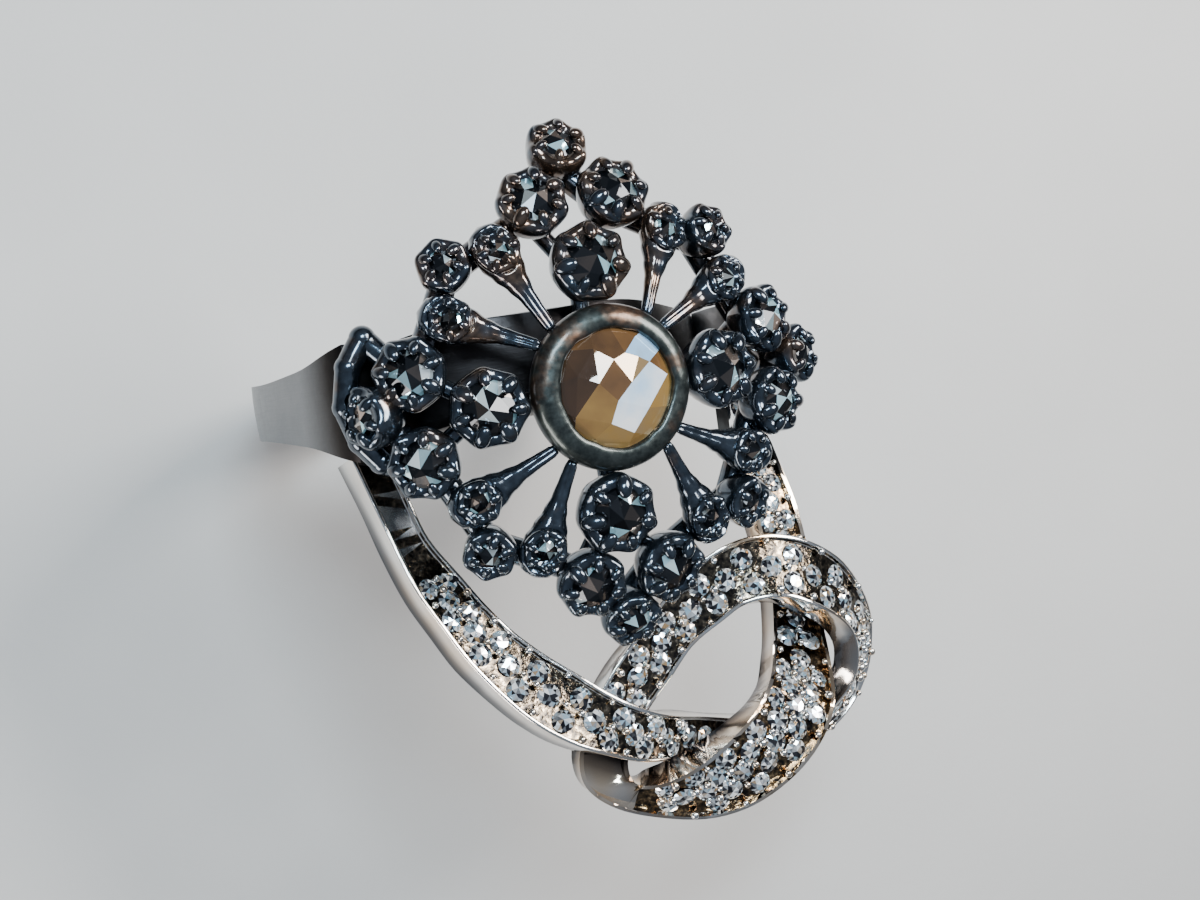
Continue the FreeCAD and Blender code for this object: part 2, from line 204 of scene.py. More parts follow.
class Finish(Nodes):
    """A material with one Principled shader."""

    def __init__(self, name):
        self.material = bpy.data.materials.new(name)
        self.material.use_nodes = True
        super().__init__(self.material.node_tree)
        self.tree.nodes.clear()
        self.place = self.add("ShaderNodeTexCoord", output="Object")

    def noise(self, per_mm, detail=3.0, rough=0.55, stretch=(1, 1, 1)):
        """Fractal noise with this many grains to the millimetre."""
        spot = self.add("ShaderNodeMapping", None, {"Vector": self.place, "Scale": stretch})
        return self.add("ShaderNodeTexNoise", None,
                        {"Vector": spot, "Scale": per_mm / MM, "Detail": detail, "Roughness": rough})

    def mark(self, name):
        """A number that the mesh carries."""
        return self.add("ShaderNodeAttribute", {"attribute_name": name}, None, "Fac")

    def along(self, axis):
        """Place along X, Y or Z, in metres."""
        return self.add("ShaderNodeSeparateXYZ", None, {0: self.place}, axis)

    def ramp(self, value, stops):
        return self.add("ShaderNodeValToRGB", {"stops": stops}, {"Fac": value})

    def mask(self, value, start, end):
        return self.ramp(value, [(start, (0, 0, 0)), (end, (1, 1, 1))])

    def blend(self, factor, first, second):
        return self.add("ShaderNodeMix", {"data_type": "RGBA"}, {0: factor, 6: first, 7: second}, 2)

    def dim(self, colour, shade):
        settings = {"data_type": "RGBA", "blend_type": "MULTIPLY"}
        return self.add("ShaderNodeMix", settings, {0: 1.0, 6: colour, 7: shade}, 2)

    def bump(self, height, depth_mm, strength=1.0, under=None):
        inputs = {"Height": height, "Distance": depth_mm * MM, "Strength": strength}
        if under is not None:
            inputs["Normal"] = under
        return self.add("ShaderNodeBump", None, inputs)

    def shader(self, **inputs):
        """Ends the material: every input of the shader by its name, with _ for a space."""
        named = {key.replace("_", " "): value for key, value in inputs.items()}
        bsdf = self.add("ShaderNodeBsdfPrincipled", None, named)
        self.add("ShaderNodeOutputMaterial", None, {"Surface": bsdf})
        return self.material


def tree_of(name, inputs):
    """A Geometry Nodes tree with named inputs, ready for its nodes."""
    group = bpy.data.node_groups.new(name, "GeometryNodeTree")
    group.interface.new_socket("Geometry", in_out="INPUT", socket_type="NodeSocketGeometry")
    for label, kind in inputs:
        group.interface.new_socket(label, in_out="INPUT", socket_type=kind)
    group.interface.new_socket("Geometry", in_out="OUTPUT", socket_type="NodeSocketGeometry")
    tree = Nodes(group)
    entry = group.nodes.new("NodeGroupInput")
    return tree, {socket.name: Value(tree, socket) for socket in entry.outputs if socket.name}


def grown(obj, tree, values, name):
    """Runs a tree on an object and keeps the result as a plain mesh."""
    modifier = obj.modifiers.new(tree.name, "NODES")
    modifier.node_group = tree
    for item in tree.interface.items_tree:
        if item.in_out == "INPUT" and item.name in values:
            modifier[item.identifier] = values[item.name]
    evaluated = obj.evaluated_get(bpy.context.evaluated_depsgraph_get())
    mesh = bpy.data.meshes.new_from_object(evaluated)
    bpy.data.objects.remove(obj)
    return put(name, mesh)


# ---------------------------------------------------------------- mesh helpers

def put(name, mesh, hidden=False):
    """A new object in the scene."""
    obj = bpy.data.objects.new(name, mesh)
    bpy.context.scene.collection.objects.link(obj)
    obj.hide_render = hidden
    return obj


def mesh_from(name, points, faces, smooth=True):
    """A mesh with its doubled points joined and its faces turned outwards."""
    mesh = bpy.data.meshes.new(name)
    mesh.from_pydata([tuple(p) for p in points], [], faces)
    mesh.validate()
    bm = bmesh.new()
    bm.from_mesh(mesh)
    bmesh.ops.remove_doubles(bm, verts=bm.verts, dist=0.4 * WELD)
    bmesh.ops.recalc_face_normals(bm, faces=bm.faces)
    for f in bm.faces:
        f.smooth = smooth
    bm.to_mesh(mesh)
    bm.free()
    return mesh


def upright(axis):
    """Rotation that turns +Z to the axis."""
    return UP.rotation_difference(axis).to_matrix().to_4x4()


def rings(rows):
    """Points and faces of a closed skin over rows of points; every row is a ring of the same count."""
    count = len(rows[0])
    points = [p for row in rows for p in row]
    faces = []
    for r in range(len(rows) - 1):
        for i in range(count):
            j = (i + 1) % count
            faces.append((r * count + i, r * count + j, (r + 1) * count + j, (r + 1) * count + i))
    faces.append(tuple(reversed(range(count))))
    faces.append(tuple(range((len(rows) - 1) * count, len(rows) * count)))
    return points, faces


def join(name, meshes):
    """One mesh from several."""
    bm = bmesh.new()
    for mesh in meshes:
        bm.from_mesh(mesh)
    out = bpy.data.meshes.new(name)
    bm.to_mesh(out)
    bm.free()
    return out


def softened(name, bevel_mm, angle=35):
    """A copy of a CAD node with its edges eased and its curved faces smooth."""
    bm = welded(name)
    bmesh.ops.dissolve_limit(bm, angle_limit=math.radians(0.4), verts=bm.verts, edges=bm.edges)
    mesh = bpy.data.meshes.new(name + "_eased")
    bm.to_mesh(mesh)
    bm.free()
    obj = put(name + "_eased", mesh)
    ease = obj.modifiers.new("ease", "BEVEL")
    ease.width = bevel_mm * MM
    ease.segments = 3
    ease.limit_method = "ANGLE"
    ease.angle_limit = math.radians(angle)
    evaluated = obj.evaluated_get(bpy.context.evaluated_depsgraph_get())
    out = bpy.data.meshes.new_from_object(evaluated)
    bpy.data.objects.remove(obj)
    for polygon in out.polygons:
        polygon.use_smooth = True
    bm = bmesh.new()
    bm.from_mesh(out)
    for edge in bm.edges:
        if len(edge.link_faces) == 2 and edge.calc_face_angle(0) > math.radians(angle):
            edge.smooth = False
    bm.to_mesh(out)
    bm.free()
    return put(name, out)


def finished(obj, material, slot, *replaced):
    """Gives a piece its material and its body, and hides the CAD nodes that it stands for; the slot is not
    used.
    """
    obj.data.materials.clear()
    obj.data.materials.append(material)
    for polygon in obj.data.polygons:
        polygon.material_index = 0
    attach(obj, "root")
    if replaced:
        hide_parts(*replaced)
    return obj


# ---------------------------------------------------------------- finishes

def blackened_silver():
    """Old silver, blue-black and dented, brown towards the head's north side: partly tarnish, partly a
    painted warm reflection.
    """
    f = Finish("blackened_silver")
    blotch = f.noise(0.5, 3.0)
    fine = f.noise(3.0, 3.0)
    dark = f.ramp(fine, [(0.3, (0.026, 0.036, 0.050)), (0.75, (0.070, 0.092, 0.118))])
    patina_and_warm_sheen = f.ramp(fine, [(0.3, (0.055, 0.036, 0.026)), (0.75, (0.22, 0.145, 0.10))])
    # brown towards the north side: partly tarnish, partly a painted warm reflection
    colour = f.blend(f.mask(blotch + f.along("Y") * 16.0, 0.54, 0.70), dark, patina_and_warm_sheen)
    dents = f.bump(f.noise(1.1, 1.0), 0.07)
    pits = f.bump(fine, 0.006, 0.8, dents)
    return f.shader(Base_Color=colour, Metallic=0.9, Roughness=fine * 0.12 + 0.10, Coat_Weight=0.8,
                    Coat_Roughness=0.07, Normal=pits)


def rubbed_silver():
    """The centre setting: a smooth greenish grey, brown towards its north side as a painted warm highlight,
    scarred where its edge was rubbed over the stone.
    """
    f = Finish("rubbed_silver")
    blotch = f.noise(0.45, 4.0, 0.6)
    fine = f.noise(3.0, 3.0, 0.6)
    grey = f.ramp(fine, [(0.3, (0.022, 0.028, 0.027)), (0.75, (0.066, 0.076, 0.072))])
    brown = f.ramp(fine, [(0.3, (0.05, 0.028, 0.018)), (0.75, (0.17, 0.10, 0.065))])
    # brown towards the north side: a painted warm highlight
    colour = f.blend(f.mask(blotch + f.along("Y") * 45.0, 0.5, 0.64), grey, brown)
    scars = f.bump(f.noise(0.9, 2.0, 0.5, (1, 1, 0.5)), 0.08)
    pits = f.bump(fine, 0.004, 0.8, scars)
    return f.shader(Base_Color=colour, Metallic=0.85, Roughness=fine * 0.16 + 0.26, Coat_Weight=0.3,
                    Coat_Roughness=0.12, Normal=pits)


def white_gold(name, warm_from, warm_to, bed_light):
    """Polished metal, warm in patches where its white skin is thin, partly plating wear and partly a painted
    warm reflection; darker low on its walls and between the stones as painted shade, and near-black as
    painted shade where the loop's end runs under the head.
    """
    f = Finish(name)
    bed = f.mark("bed")
    cloud = f.noise(0.35, 3.0)
    metal = f.ramp(cloud, [(0.3, (0.80, 0.74, 0.67)), (0.7, (0.90, 0.87, 0.83))])
    # warm patches: partly plating wear, partly a painted warm reflection
    wear_and_warm_sheen = f.blend(f.mask(f.noise(0.2, 2.0), warm_from, warm_to), metal, (0.88, 0.66, 0.45, 1))
    # painted shade: the lower on the wall, by its depth below the stones, the darker
    shade = f.ramp(f.mark("depth") * 0.7 + cloud * 0.12,
                   [(0.2, (1, 1, 1)), (0.55, (0.30, 0.29, 0.30)), (0.8, (0.05, 0.05, 0.06))])
    wall = f.dim(wear_and_warm_sheen, shade)
    fine = f.noise(4.0, 3.0)
    bed_dim = tuple(0.25 * c for c in bed_light)
    # the bed between the stones: painted shade, near-black with brighter flecks
    ground = f.ramp(fine, [(0.38, (0.03, 0.027, 0.025)), (0.56, bed_dim), (0.72, bed_light)])
    # painted shade: where the loop's end runs under the head it goes near-black
    colour = f.blend(f.mark("soot"), f.blend(bed, wall, ground), (0.045, 0.048, 0.05, 1))
    scratch = f.noise(14.0, 2.0, 0.5, (1, 0.12, 1))
    wave = f.bump(f.noise(0.8, 1.0), 0.03)
    lines = f.bump(scratch, 0.002, 0.5, wave)
    rough = f.bump(fine, 0.03, 1.0, lines)
    normal = f.add("ShaderNodeMix", {"data_type": "VECTOR"}, {0: bed, 4: lines, 5: rough}, 1)
    return f.shader(Base_Color=colour, Metallic=1.0, Roughness=f.noise(6.0) * 0.1 + 0.05, Normal=normal)


def bead_gold():
    """Bright grains, some gone yellow with wear and some still white."""
    f = Finish("bead_gold")
    colour = f.ramp(f.noise(0.9, 2.0),
                    [(0.35, (0.78, 0.62, 0.46)), (0.55, (0.86, 0.82, 0.77)), (0.7, (0.8, 0.86, 0.9))])
    return f.shader(Base_Color=colour, Metallic=1.0, Roughness=f.noise(5.0) * 0.1 + 0.08,
                    Normal=f.bump(f.noise(4.0), 0.01))


def satin_band():
    """Brushed grey metal, darkened towards the head as painted shade."""
    f = Finish("satin_band")
    streak = f.noise(3.5, 4.0, 0.6, (0.25, 3.0, 0.25))
    cloud = f.noise(0.3, 3.0)
    metal = f.blend(cloud, (0.17, 0.175, 0.185, 1), (0.31, 0.31, 0.31, 1))
    # painted shade: the higher up towards the head, the darker
    head_shade = f.ramp(f.along("Z") * 100.0 + cloud * 0.12,
                   [(0.66, (1, 1, 1)), (0.92, (0.16, 0.14, 0.13)), (1.0, (0.10, 0.09, 0.09))])
    lines = f.bump(streak, 0.012, 0.6, f.bump(f.noise(1.2, 2.0), 0.02))
    return f.shader(Base_Color=f.dim(metal, head_shade), Metallic=1.0, Roughness=streak * 0.16 + 0.27,
                    Normal=lines)


def pave_diamond():
    """Each facet is painted dark, white, pale blue or gold as a reflection; the brightest glow as painted
    highlights.
    """
    f = Finish("sparkling_pave")
    facet = f.mark("facet")
    colour = f.ramp(facet,
                    [(0.0, (0.008, 0.008, 0.012)), (0.24, (0.05, 0.05, 0.06)), (0.34, (0.36, 0.37, 0.38)),
                     (0.48, (0.97, 0.97, 0.97)), (0.66, (0.50, 0.78, 0.95)), (0.76, (0.66, 0.40, 0.18)),
                     (0.86, (0.97, 0.94, 0.88)), (1.0, (1.0, 1.0, 1.0))])
    # painted highlight: the brightest facets glow
    fire = f.ramp(facet, [(0.84, (0, 0, 0)), (0.89, (0.75, 0.88, 1.0)), (1.0, (1.0, 0.97, 0.9))])
    cloud = f.bump(f.noise(2.0, 1.0), 0.01)
    return f.shader(Base_Color=colour, Metallic=0.75, Roughness=0.05, IOR=2.0, Emission_Color=fire,
                    Emission_Strength=0.55, Normal=cloud)


def rose_diamond():
    """Old stones: mostly dark with the silver behind them, a facet or two painted as catching the light, the
    brightest glowing.
    """
    f = Finish("old_rose_diamond")
    facet = f.mark("facet")
    colour = f.ramp(facet,
                    [(0.0, (0.006, 0.008, 0.011)), (0.56, (0.022, 0.024, 0.028)), (0.70, (0.10, 0.08, 0.07)),
                     (0.80, (0.50, 0.38, 0.31)), (0.88, (0.50, 0.80, 0.88)), (1.0, (0.98, 1.0, 1.0))])
    specks = f.noise(7.0, 2.0)
    # painted highlight: the brightest facets glow
    glow = f.ramp(facet, [(0.84, (0, 0, 0)), (0.9, (0.35, 0.75, 0.88)), (1.0, (0.9, 1.0, 1.0))])
    return f.shader(Base_Color=colour, Metallic=0.75, Roughness=specks * 0.1, IOR=2.0,
                    Emission_Color=glow, Emission_Strength=0.22,
                    Normal=f.bump(f.noise(1.4, 1.0), 0.02))


def champagne_diamond():
    """The centre stone: brown and gold, clouded inside, its facets painted dark to gold as reflections, with
    its window facets painted bright as highlights that glow.
    """
    f = Finish("champagne_stone")
    facet = f.mark("facet")
    clouds = f.noise(0.5, 3.0)
    colour = f.ramp(facet * 0.74 + clouds * 0.26,
                    [(0.06, (0.016, 0.011, 0.008)), (0.24, (0.065, 0.034, 0.017)),
                     (0.38, (0.19, 0.095, 0.035)), (0.50, (0.36, 0.21, 0.06)), (0.66, (0.26, 0.19, 0.12)),
                     (0.80, (0.38, 0.66, 0.95)), (0.9, (1.0, 1.0, 1.0))])
    # painted highlight: the window facets glow
    glow = f.ramp(facet, [(0.78, (0, 0, 0)), (0.88, (0.30, 0.58, 0.95)), (0.99, (1.0, 1.0, 1.0))])
    return f.shader(Base_Color=colour, Metallic=0.4, Roughness=f.noise(5.0) * 0.06, IOR=2.0,
                    Emission_Color=glow, Emission_Strength=0.28,
                    Normal=f.bump(f.noise(0.6, 1.0), 0.04))


def bright_foil():
    f = Finish("bright_foil")
    crinkle = f.noise(3.0, 3.0)
    colour = f.ramp(crinkle, [(0.3, (0.5, 0.33, 0.14)), (0.7, (0.85, 0.66, 0.4))])
    return f.shader(Base_Color=colour, Metallic=1.0, Roughness=0.2, Normal=f.bump(crinkle, 0.04))


silver = blackened_silver()
rubbed = rubbed_silver()
gold = white_gold("polished_white_gold", 0.56, 0.72, (0.55, 0.43, 0.30))
warm_gold = white_gold("thinly_plated_gold", 0.36, 0.56, (0.95, 0.62, 0.33))
beading = bead_gold()
satin = satin_band()
pave_finish = pave_diamond()
rose_finish = rose_diamond()
champagne = champagne_diamond()
foil = bright_foil()


# ---------------------------------------------------------------- trees

def setting_tree():
    """Copies of a piece on points, each upright on its own axis, sized by the point, turned at random."""
    t, entry = tree_of("set_on_axes", [
        ("Piece", "NodeSocketObject"), ("Size", "NodeSocketFloat"), ("Size Spread", "NodeSocketFloat"),
        ("Turn", "NodeSocketFloat"), ("Lean", "NodeSocketFloat"), ("Seed", "NodeSocketInt"),
        ("Finish", "NodeSocketMaterial")])
    axis = t.add("GeometryNodeInputNamedAttribute", {"data_type": "FLOAT_VECTOR"}, {"Name": "axis"})
    size = t.add("GeometryNodeInputNamedAttribute", {"data_type": "FLOAT"}, {"Name": "size"})
    spread = t.add("FunctionNodeRandomValue", {"data_type": "FLOAT"},
                   {2: -1.0, 3: 1.0, "Seed": entry["Seed"]}, 1)
    scale = size * entry["Size"] * (spread * entry["Size Spread"] + 1.0)
    wander = t.add("FunctionNodeRandomValue", {"data_type": "FLOAT_VECTOR"},
                   {0: (-1.0, -1.0, -1.0), 1: (1.0, 1.0, 1.0), "Seed": entry["Seed"]})
    shift = t.add("ShaderNodeVectorMath", {"operation": "SCALE"}, {0: wander, "Scale": entry["Lean"]})
    leaning = t.add("ShaderNodeVectorMath", {"operation": "ADD"}, {0: axis, 1: shift})
    turn = t.add("FunctionNodeAlignRotationToVector", {"axis": "Z"}, {"Vector": leaning})
    spin = t.add("FunctionNodeRandomValue", {"data_type": "FLOAT"},
                 {2: 0.0, 3: entry["Turn"], "Seed": entry["Seed"]}, 1)
    about = t.add("FunctionNodeAxisAngleToRotation", None, {"Axis": (0.0, 0.0, 1.0), "Angle": spin})
    rotation = t.add("FunctionNodeRotateRotation", {"rotation_space": "LOCAL"},
                     {"Rotation": turn, "Rotate By": about})
    piece = t.add("GeometryNodeObjectInfo", None, {"Object": entry["Piece"]}, "Geometry")
    copies = t.add("GeometryNodeInstanceOnPoints", None,
                   {"Points": entry["Geometry"], "Instance": piece, "Rotation": rotation, "Scale": scale})
    solid = t.add("GeometryNodeRealizeInstances", None, {"Geometry": copies})
    # a random value for each face, which the stone finishes turn into painted reflections and highlights
    shade = t.add("FunctionNodeRandomValue", {"data_type": "FLOAT"},
                  {2: 0.0, 3: 1.0, "Seed": entry["Seed"]}, 1)
    marked = t.add("GeometryNodeStoreNamedAttribute", {"data_type": "FLOAT", "domain": "FACE"},
                   {"Geometry": solid, "Name": "facet", "Value": shade})
    painted = t.add("GeometryNodeSetMaterial", None, {"Geometry": marked, "Material": entry["Finish"]})
    t.add("NodeGroupOutput", None, {"Geometry": painted})
    return t.tree


def claw_tree():
    """Grains of metal pressed over a stone's edge, in a ring round the piece's own axis."""
    t, entry = tree_of("claws_round_a_stone", [
        ("Claws", "NodeSocketInt"), ("Ring Radius", "NodeSocketFloat"), ("Ring Height", "NodeSocketFloat"),
        ("Claw Size", "NodeSocketFloat"), ("Seed", "NodeSocketInt"), ("Finish", "NodeSocketMaterial")])
    ring = t.add("GeometryNodeMeshCircle", None, {"Vertices": entry["Claws"], "Radius": entry["Ring Radius"]})
    lift = t.add("ShaderNodeCombineXYZ", None, {"Z": entry["Ring Height"]})
    lifted = t.add("GeometryNodeSetPosition", None, {"Geometry": ring, "Offset": lift})
    place = t.add("GeometryNodeInputPosition")
    flat = t.add("ShaderNodeVectorMath", {"operation": "MULTIPLY"}, {0: place, 1: (-1.0, -1.0, 0.0)})
    facing = t.add("FunctionNodeAlignRotationToVector", {"axis": "X"}, {"Vector": flat})
    dip = t.add("FunctionNodeAxisAngleToRotation", None, {"Axis": (0.0, 1.0, 0.0), "Angle": -0.5})
    inward = t.add("FunctionNodeRotateRotation", {"rotation_space": "LOCAL"},
                   {"Rotation": facing, "Rotate By": dip})
    wide = t.add("FunctionNodeRandomValue", {"data_type": "FLOAT"},
                 {2: 0.8, 3: 1.2, "Seed": entry["Seed"]}, 1)
    size = wide * entry["Claw Size"]
    shape = t.add("ShaderNodeCombineXYZ", None, {"X": size * 1.45, "Y": size * 0.95, "Z": size * 0.8})
    grain = t.add("GeometryNodeMeshIcoSphere", None, {"Radius": 1.0, "Subdivisions": 3})
    copies = t.add("GeometryNodeInstanceOnPoints", None,
                   {"Points": lifted, "Instance": grain, "Rotation": inward, "Scale": shape})
    both = t.add("GeometryNodeJoinGeometry", None, {0: [copies, entry["Geometry"]]})
    solid = t.add("GeometryNodeRealizeInstances", None, {"Geometry": both})
    smooth = t.add("GeometryNodeSetShadeSmooth", None, {"Geometry": solid})
    painted = t.add("GeometryNodeSetMaterial", None, {"Geometry": smooth, "Material": entry["Finish"]})
    t.add("NodeGroupOutput", None, {"Geometry": painted})
    return t.tree


set_on_axes = setting_tree()
claws_round = claw_tree()
FULL_TURN = 6.3              # a piece may be turned by up to this much about its axis


def points_object(spots, radii):
    """Bare points that carry an axis and a size each."""
    mesh = bpy.data.meshes.new("spots")
    mesh.from_pydata([tuple(p) for p, axis in spots], [], [])
    axes = mesh.attributes.new("axis", "FLOAT_VECTOR", "POINT")
    axes.data.foreach_set("vector", [c for p, axis in spots for c in axis])
    sizes = mesh.attributes.new("size", "FLOAT", "POINT")
    sizes.data.foreach_set("value", radii)
    return put("spots", mesh)


def set_pieces(name, piece, spots, radii, finish, seed, size=1.0, spread=0.0, lean=0.0):
    """Copies of a piece on the spots, as one plain mesh."""
    return grown(points_object(spots, radii), set_on_axes,
                 {"Piece": piece, "Size": size, "Size Spread": spread, "Turn": FULL_TURN, "Lean": lean,
                  "Seed": seed, "Finish": finish}, name)


# ---------------------------------------------------------------- stones

def circle(radius, height, count, turn=0.0):
    """Points on a level circle, turned by part of a step."""
    out = []
    for i in range(count):
        a = math.tau * (i + turn) / count
        out.append(Vector((radius * math.cos(a), radius * math.sin(a), height)))
    return out


def brilliant_mesh():
    """Full-cut crown of radius 1 on a girdle: table, stars, kites and upper girdle facets."""
    table = circle(0.54, 0.36, 8)
    kite = circle(0.8, 0.23, 8, 0.5)
    girdle = circle(1.0, 0.08, 16)
    base = circle(0.92, 0.0, 16)
    points = table + kite + girdle + base
    points.append(Vector((0.0, 0.0, 0.38)))
    faces = [tuple(reversed(range(32, 48)))]
    for i in range(8):
        j = (i + 1) % 8
        faces.append((i, j, 48))
        tip, left, mid, right = 8 + i, 16 + 2 * i, 17 + 2 * i, 16 + 2 * j
        faces.append((i, j, tip))
        faces.append((i, tip, left))
        faces.append((j, right, tip))
        faces.append((tip, mid, left))
        faces.append((tip, right, mid))
    for i in range(16):
        j = (i + 1) % 16
        faces.append((16 + i, 16 + j, 32 + j, 32 + i))
    return mesh_from("brilliant", points, faces, smooth=False)


def rose_mesh(name, seed, wobble, top):
    """Rose cut of radius 1: six star facets round a point and eighteen below, cut a little by eye."""
    rng = random.Random(seed)
    waist = circle(0.56, 0.36, 6)
    girdle = circle(1.0, 0.05, 12)
    base = circle(0.96, 0.0, 12)
    point = Vector((rng.uniform(-wobble, wobble), rng.uniform(-wobble, wobble), top))
    for p in waist:
        p += Vector((rng.uniform(-wobble, wobble), rng.uniform(-wobble, wobble),
                     rng.uniform(-0.3, 0.3) * wobble))
    points = [point] + waist + girdle + base
    faces = [tuple(reversed(range(19, 31)))]
    for i in range(6):
        here, after = 1 + i, 1 + (i + 1) % 6
        g = 7 + 2 * i
        before = 7 + (2 * i - 1) % 12
        faces += [(0, here, after), (here, g + 1, after), (here, before, g), (here, g, g + 1)]
    for i in range(12):
        j = (i + 1) % 12
        faces.append((7 + i, 19 + i, 19 + j, 7 + j))
    return mesh_from(name, points, faces, smooth=False)


def tree_near(stones):
    """For finding the stones nearest to a point."""
    near = KDTree(len(stones))
    for i, stone in enumerate(stones):
        near.insert(stone["at"], i)
    near.balance()
    return near


def between(stones):
    """Places for beads: the middle of every three stones that are neighbours."""
    near = tree_near(stones)
    found = {}
    for i, stone in enumerate(stones):
        reach = 2.7 * stone["radius"]
        close = [j for where, j, far in near.find_range(stone["at"], reach) if j != i]
        for j in close:
            for k in close:
                if i < j < k and (stones[j]["at"] - stones[k]["at"]).length < reach:
                    middle = (stone["at"] + stones[j]["at"] + stones[k]["at"]) / 3
                    found[(i, j, k)] = middle + stone["axis"] * BEAD_LIFT
    return [found[key] for key in sorted(found)]


def pave(name, seed):
    """The ribbon's stones and the beads that hold them."""
    stones = seats("diamonds_" + name)
    jewel = put("brilliant", brilliant_mesh(), hidden=True)
    piece = set_pieces("pave_stones_" + name, jewel, [(s["at"], s["axis"]) for s in stones],
                       [s["radius"] for s in stones], pave_finish, seed, size=1.06, spread=0.03, lean=0.16)
    finished(piece, pave_finish, "pave_diamond", "diamonds_" + name)
    bpy.data.objects.remove(jewel)
    bm = welded("beads_" + name)
    middles = [sum((v.co for v in g), Vector()) / len(g) for g in islands(bm)]
    bm.free()
    corners = between(stones)
    middles = corners + [m for m in middles if all((m - c).length > BEADS_APART for c in corners)]
    ball = bpy.data.meshes.new("bead")
    bm = bmesh.new()
    bmesh.ops.create_icosphere(bm, subdivisions=2, radius=1.0)
    for face in bm.faces:
        face.smooth = True
    bm.to_mesh(ball)
    bm.free()
    grain = put("bead", ball, hidden=True)
    beads = set_pieces("pave_beads_" + name, grain, [(m, UP) for m in middles], [BEAD] * len(middles),
                       beading, seed + 1, spread=0.25)
    finished(beads, beading, "white_gold", "beads_" + name)
    bpy.data.objects.remove(grain)


for k, part in enumerate(RIBBON):
    pave(part, 20 + 2 * k)


# ---------------------------------------------------------------- ribbon and band

def mark_ribbon(obj, stones, shade_from):
    """Stores each corner's depth below the stones, which darkens the walls as painted shade, and how much
    painted shade it takes where the loop's end runs under the head, and which faces are the stones' bed.
    """
    near = tree_near(stones)
    spots = obj.data.vertices
    depths, soot = [], []
    for v in spots:
        stone = stones[near.find(v.co)[1]]
        depths.append(-(v.co - stone["at"]).dot(stone["axis"]) / MM)
        # painted shade on the loop's end under the head
        soot.append(max(0.0, min(1.0, (v.co.y / MM - shade_from) / SHADE_FADE)))
    beds = []
    for face in obj.data.polygons:
        where, i, far = near.find(face.center)
        upwards = face.normal.dot(stones[i]["axis"])
        level = abs((face.center - stones[i]["at"]).dot(stones[i]["axis"])) < BED_LEVEL
        corners = [spots[v].co for v in face.vertices]
        longest = max((a - b).length for a, b in zip(corners, corners[1:] + corners[:1]))
        under_stones = level and far < BED_REACH and upwards > 0.8
        wide = face.area > BED_WIDTH * longest and upwards > 0.6
        beds.append(1.0 if under_stones or wide else 0.0)
    for name, domain, values in (("depth", "POINT", depths), ("soot", "POINT", soot), ("bed", "FACE", beds)):
        obj.data.attributes.new(name, "FLOAT", domain).data.foreach_set("value", values)


for part in RIBBON:
    strip = softened("ribbon_" + part, 0.06)
    strip.name = "ribbon_strip_" + part
    mark_ribbon(strip, seats("diamonds_" + part), SHADE_FROM[part])
    finished(strip, warm_gold if part == "loop" else gold, "white_gold", "ribbon_" + part)

BAND = (("finger_band", "band_hoop"), ("shoulder_left", "cheek_left"), ("shoulder_right", "cheek_right"))
for part, name in BAND:
    piece = softened(part, 0.12, 30)
    piece.name = name
    finished(piece, satin, "band_metal", part)


# ---------------------------------------------------------------- settings

def cup_mesh(name, seat_radius, radius, height, claws, seed):
    """Tulip-shaped cup: flutes between its claws, a dipped edge, and the edge worked in over the stone."""
    rng = random.Random(seed)
    strength = [rng.uniform(0.75, 1.2) for _ in range(claws)]
    around = 16 * claws
    profile = [(0.5, -1.0), (0.6, -0.99), (0.72, -0.88), (0.85, -0.72), (0.94, -0.52), (0.99, -0.34),
               (1.0, -0.2), (0.985, -0.1), (0.95, -0.03), (0.9, 0.01), (0.84, 0.02)]
    rows = []
    for out, up in profile:
        row = []
        high = max(0.0, min(1.0, (up + 0.95) / 0.8))
        for i in range(around):
            a = math.tau * i / around
            which = int(round(a / math.tau * claws)) % claws
            claw = (0.5 + 0.5 * math.cos(claws * a)) ** 1.3 * strength[which]
            r = out * radius * (1.0 - 0.07 * high * (1.0 - min(claw, 1.0)))
            z = up * height - 0.12 * radius * high ** 4 * (1.0 - claw)
            row.append(Vector((r * math.cos(a), r * math.sin(a), z)))
        rows.append(row)
    lip = []
    for i in range(around):
        a = math.tau * i / around
        claw = (0.5 + 0.5 * math.cos(claws * a)) ** 2
        r = seat_radius - (0.09 + 0.07 * claw) * radius
        lip.append(Vector((r * math.cos(a), r * math.sin(a), -0.03 * radius * (1.0 - claw))))
    under = [Vector((p.x * 0.97, p.y * 0.97, p.z - 0.14 * radius)) for p in lip]
    points, faces = rings(rows + [lip, under])
    return mesh_from(name, points, faces)


def claw_cup(name, seat_radius, radius, height, claws, seed):
    """A cup with its claws, hidden, ready to be set on its axes."""
    cup = put(name, cup_mesh(name, seat_radius, radius, height, claws, seed))
    out = grown(cup, claws_round, {"Claws": claws, "Ring Radius": seat_radius - 0.05 * radius,
                                   "Ring Height": 0.035 * radius, "Claw Size": 0.18 * radius,
                                   "Seed": seed, "Finish": silver}, name)
    out.hide_render = True
    return out


def smooth_faces(obj):
    for polygon in obj.data.polygons:
        polygon.use_smooth = True


def settings(kind, names, claws, seed):
    """All the cups of one kind."""
    cups = seats(*names)
    first = cups[0]
    full = max(c["radius"] for c in cups)
    blank = claw_cup("blank_" + kind, full - CUP_WALL, full, first["up"] + first["down"], claws, seed)
    tops = [(c["at"] + c["axis"] * c["up"], c["axis"]) for c in cups]
    piece = set_pieces("settings_" + kind, blank, tops, [1.0] * len(cups), silver, seed, spread=0.02)
    smooth_faces(piece)
    finished(piece, silver, "dark_silver", *names)
    bpy.data.objects.remove(blank)


